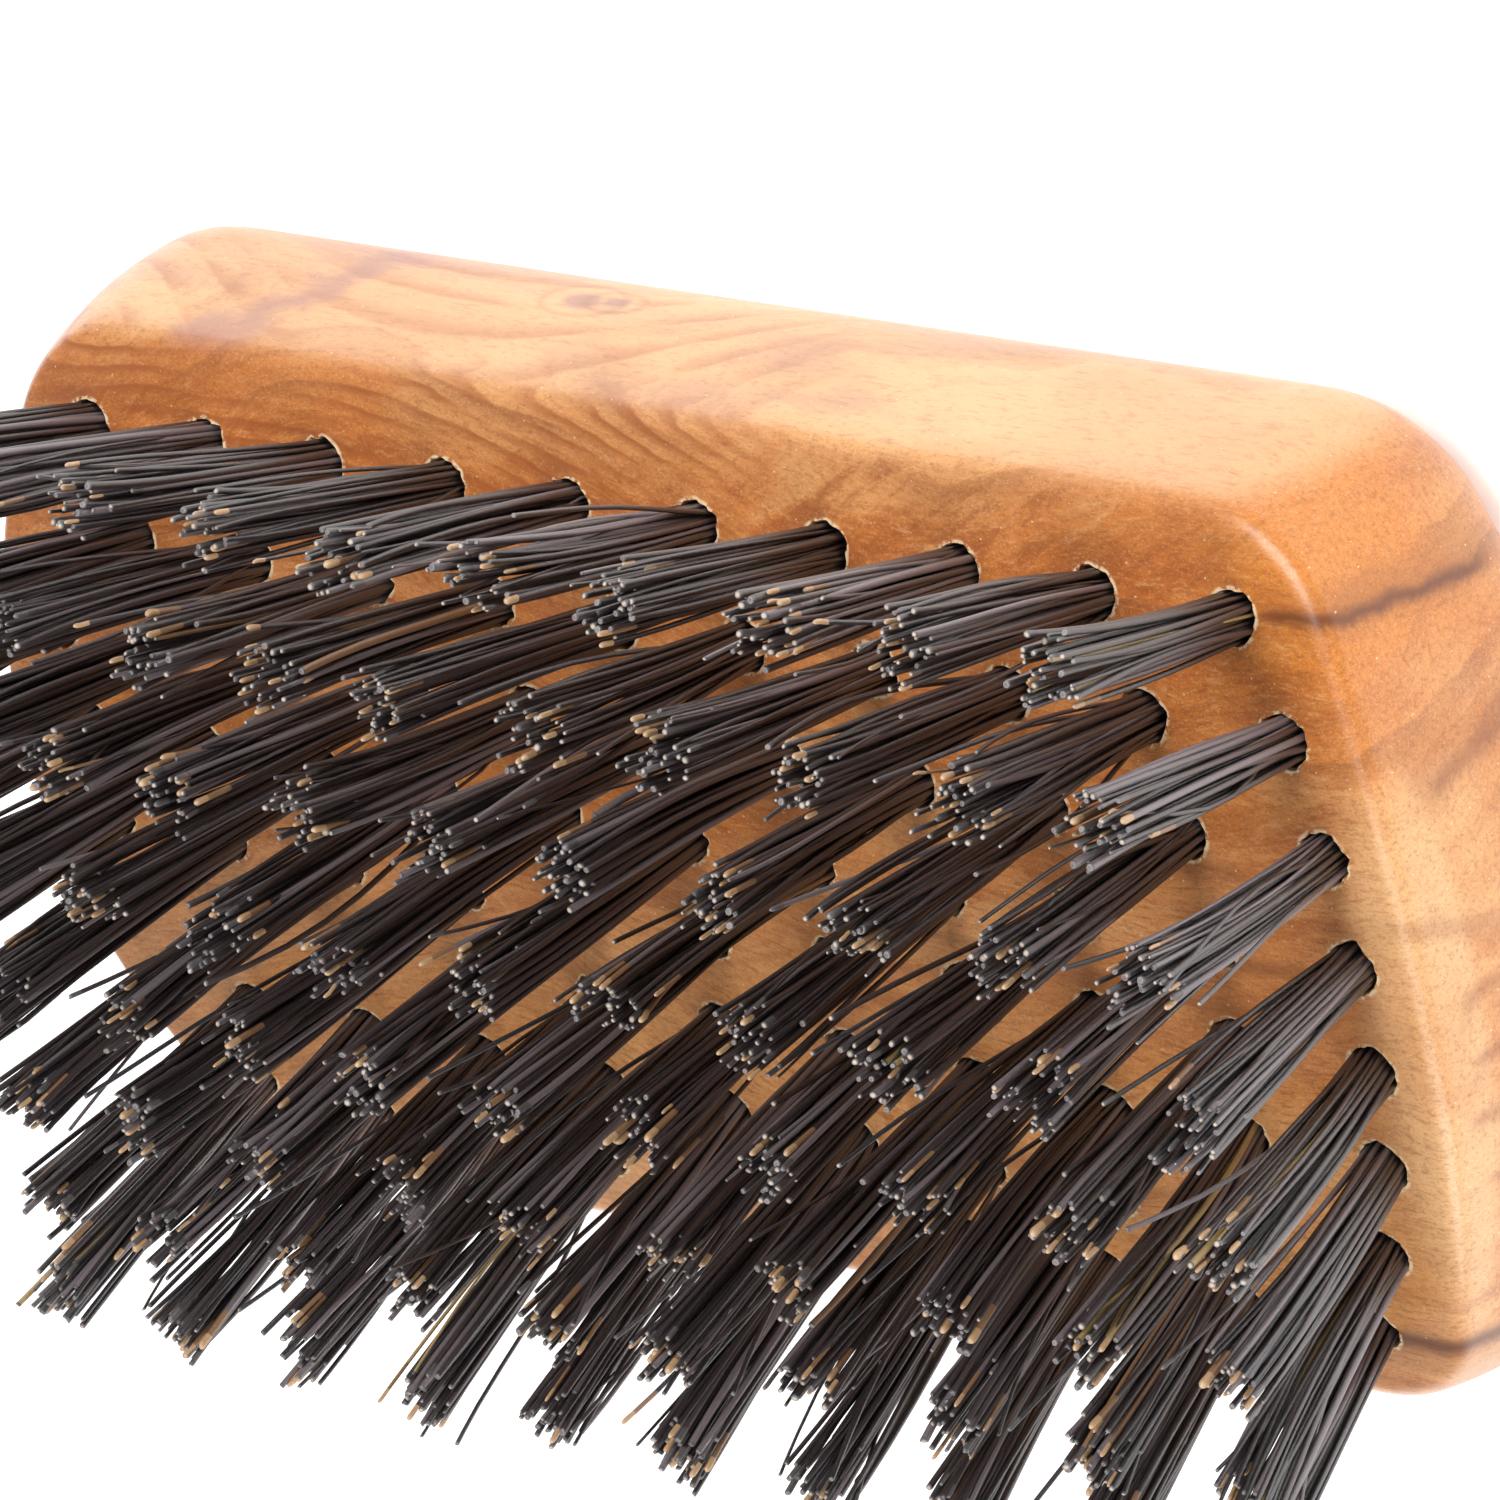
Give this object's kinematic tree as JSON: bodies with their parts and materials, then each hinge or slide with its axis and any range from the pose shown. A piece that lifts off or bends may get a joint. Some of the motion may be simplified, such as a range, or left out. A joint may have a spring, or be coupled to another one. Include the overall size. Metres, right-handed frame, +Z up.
{
  "type": "beard brush",
  "caption": "Palm-held beard brush: a crowned olive wood body with bulging ends and round edges, set with rows of splayed dark boar bristle tufts.",
  "frame": {"origin": "middle of the flat back, on the surface that the brush lies on", "axes": "+X along the brush, +Y across it, +Z up, from the flat back to the bristle tips"},
  "size_m": [0.083, 0.0462, 0.0295],
  "materials": {
    "wood": "satin",
    "bristle": "satin",
    "anchor": "brushed"
  },
  "bodies": {
    "root": {"tuft_row1_1": "bristle", "tuft_row1_10": "bristle", "tuft_row1_2_and_3": "bristle", "tuft_row1_4": "bristle", "tuft_row1_5_and_6": "bristle", "tuft_row1_7": "bristle", "tuft_row1_8_and_9": "bristle", "tuft_row2_1": "bristle", "tuft_row2_10": "bristle", "tuft_row2_2_and_3": "bristle", "tuft_row2_4": "bristle", "tuft_row2_5_and_6": "bristle", "tuft_row2_7": "bristle", "tuft_row2_8_and_9": "bristle", "tuft_row3_11": "bristle", "tuft_row3_1_and_2": "bristle", "tuft_row3_3_and_4": "bristle", "tuft_row3_5": "bristle", "tuft_row3_6_and_7": "bristle", "tuft_row3_8": "bristle", "tuft_row3_9_and_10": "bristle", "tuft_row4_11": "bristle", "tuft_row4_1_and_2": "bristle", "tuft_row4_3_and_4": "bristle", "tuft_row4_5": "bristle", "tuft_row4_6_and_7": "bristle", "tuft_row4_8": "bristle", "tuft_row4_9_and_10": "bristle", "tuft_row5_11": "bristle", "tuft_row5_1_and_2": "bristle", "tuft_row5_3_and_4": "bristle", "tuft_row5_5": "bristle", "tuft_row5_6_and_7": "bristle", "tuft_row5_8": "bristle", "tuft_row5_9_and_10": "bristle", "tuft_row6_11": "bristle", "tuft_row6_1_and_2": "bristle", "tuft_row6_3_and_4": "bristle", "tuft_row6_5": "bristle", "tuft_row6_6_and_7": "bristle", "tuft_row6_8": "bristle", "tuft_row6_9_and_10": "bristle", "tuft_row7_1": "bristle", "tuft_row7_10": "bristle", "tuft_row7_2_and_3": "bristle", "tuft_row7_4": "bristle", "tuft_row7_5_and_6": "bristle", "tuft_row7_7": "bristle", "tuft_row7_8_and_9": "bristle", "tuft_row8_1": "bristle", "tuft_row8_10": "bristle", "tuft_row8_2_and_3": "bristle", "tuft_row8_4": "bristle", "tuft_row8_5_and_6": "bristle", "tuft_row8_7": "bristle", "tuft_row8_8_and_9": "bristle", "wood_body": "wood"}
  },
  "joints": []
}
